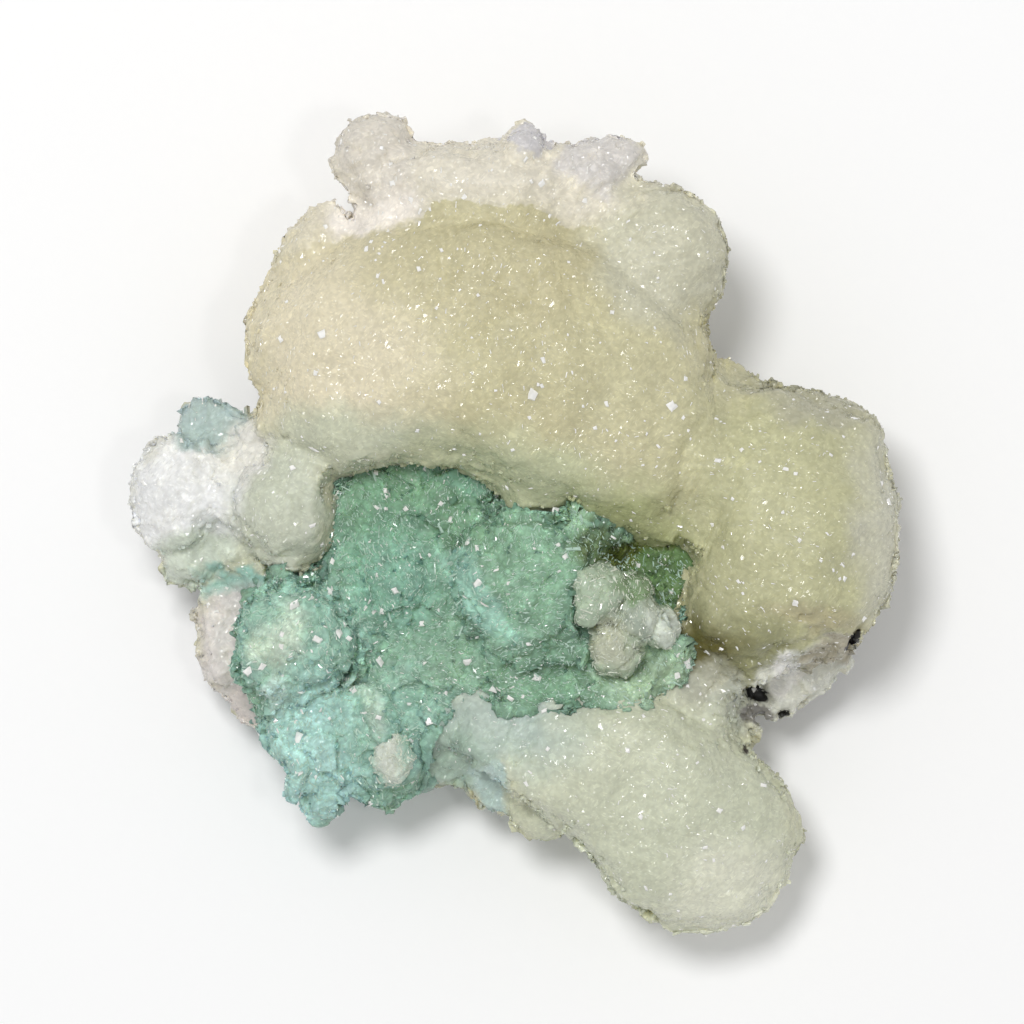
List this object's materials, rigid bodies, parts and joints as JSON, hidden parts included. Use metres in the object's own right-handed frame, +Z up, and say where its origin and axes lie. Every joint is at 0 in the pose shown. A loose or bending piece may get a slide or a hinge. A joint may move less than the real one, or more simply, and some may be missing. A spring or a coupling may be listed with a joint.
{
  "type": "stilbite mineral specimen",
  "caption": "Hand specimen of cream stilbite sheaves round a hollow lined with green crystals, lying on a broken basalt slab.",
  "frame": {"origin": "on the slab's flat foot, under the middle of the specimen", "axes": "+Z up, out of the display side; +Y towards the upper edge of the picture; +X to its right"},
  "size_m": [0.1158, 0.123, 0.05],
  "materials": {
    "basalt": "rough dark basalt",
    "cream_stilbite": "translucent druse of fine glassy crystals",
    "green_druse": "translucent druse of fine glassy crystals",
    "pale_nodule": "translucent druse of fine glassy crystals"
  },
  "bodies": {
    "root": {"basalt_slab": "basalt", "stilbite_sheaves": "cream_stilbite", "green_crust": "green_druse", "nodule_cluster": "pale_nodule", "lone_nodule": "pale_nodule"}
  },
  "joints": []
}
